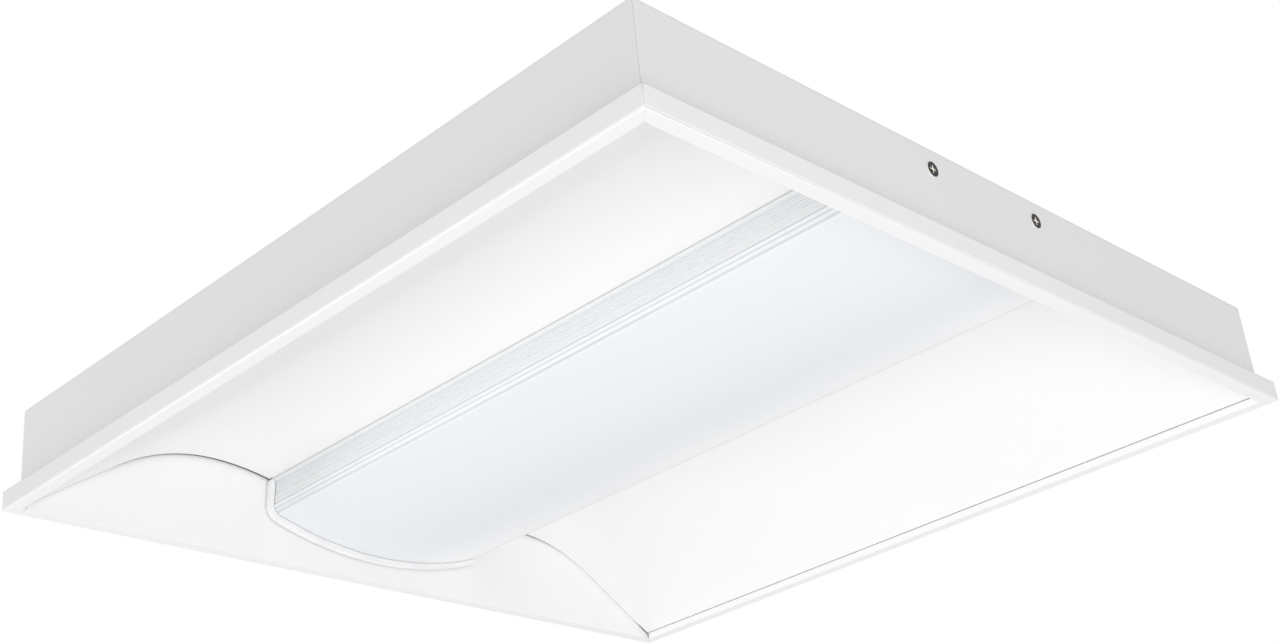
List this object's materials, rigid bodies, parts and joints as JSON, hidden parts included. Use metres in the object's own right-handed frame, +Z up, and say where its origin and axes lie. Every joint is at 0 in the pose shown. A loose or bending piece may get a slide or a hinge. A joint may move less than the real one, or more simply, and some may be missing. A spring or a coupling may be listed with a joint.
{
  "type": "recessed troffer light",
  "caption": "White recessed ceiling troffer light with a hollow rim, curved reflectors, a fluted swing-down lens over lamp boards, and a driver with a hinged wiring cover.",
  "frame": {"origin": "centre of the bottom flange's underside, where the light rests on the ceiling grid", "axes": "+Z up into the ceiling, Y along the lamp boards and the lens's hinge, X across the lens, -X the hinge side"},
  "size_m": [0.6032, 0.6032, 0.0749],
  "materials": {
    "steel_paint": "satin white powder coat",
    "zinc": "zinc plated",
    "black_screw": "black oxide",
    "board": "white solder mask",
    "led": "yellow phosphor",
    "white_plastic": "natural nylon",
    "foam": "white foam",
    "spring_steel": "bright spring steel",
    "driver_paint": "white enamel",
    "green_screw": "green dyed zinc",
    "lead_red": "red insulation",
    "black_plastic": "black nylon",
    "lead_black": "black insulation",
    "orange_plastic": "orange polycarbonate",
    "lead_green": "green insulation",
    "lens": "frosted prismatic acrylic",
    "lens_cap": "white moulded plastic"
  },
  "bodies": {
    "housing": {"housing_pan": "steel_paint", "rim_rail_left": "steel_paint", "rim_rail_right": "steel_paint", "rim_rail_front": "steel_paint", "rim_rail_rear": "steel_paint", "rim_corner_keys": "zinc", "end_plate_front": "steel_paint", "end_plate_rear": "steel_paint", "reflector_left": "steel_paint", "reflector_right": "steel_paint", "led_tray": "steel_paint", "tray_bracket_front": "zinc", "tray_bracket_rear": "zinc", "tray_nuts": "zinc", "end_screws": "black_screw", "reflector_screws": "zinc", "led_board_left": "board", "led_board_right": "board", "leds_left": "led", "leds_right": "led", "board_rivets": "zinc", "board_connectors": "white_plastic", "light_seal_left": "foam", "light_seal_right": "foam", "latch_springs": "spring_steel", "latch_rivets": "zinc", "driver_case": "driver_paint", "driver_base": "zinc", "driver_screws": "zinc", "ground_screw": "green_screw", "lamp_leads": "lead_red", "board_link_leads": "lead_red", "lead_bushing": "black_plastic", "mains_leads": "lead_black", "push_in_connectors": "orange_plastic", "ground_lead": "lead_green"},
    "diffuser": {"diffuser_lens": "lens", "lens_cap_front": "lens_cap", "lens_cap_rear": "lens_cap", "hinge_pins": "zinc"},
    "wiring_cover": {"access_cover": "steel_paint", "knockout_slug": "steel_paint", "cover_screw": "zinc"}
  },
  "joints": [
    {"name": "lens_hinge", "type": "hinge", "parent": "housing", "child": "diffuser", "pos_m": [-0.09711, 0, 0.0597], "axis": [0, 1, 0], "range_deg": [0, 85]},
    {"name": "cover_hinge", "type": "hinge", "parent": "housing", "child": "wiring_cover", "pos_m": [-0.248, -0.188, 0.0725], "axis": [1, 0, 0], "range_deg": [0, 85]}
  ]
}
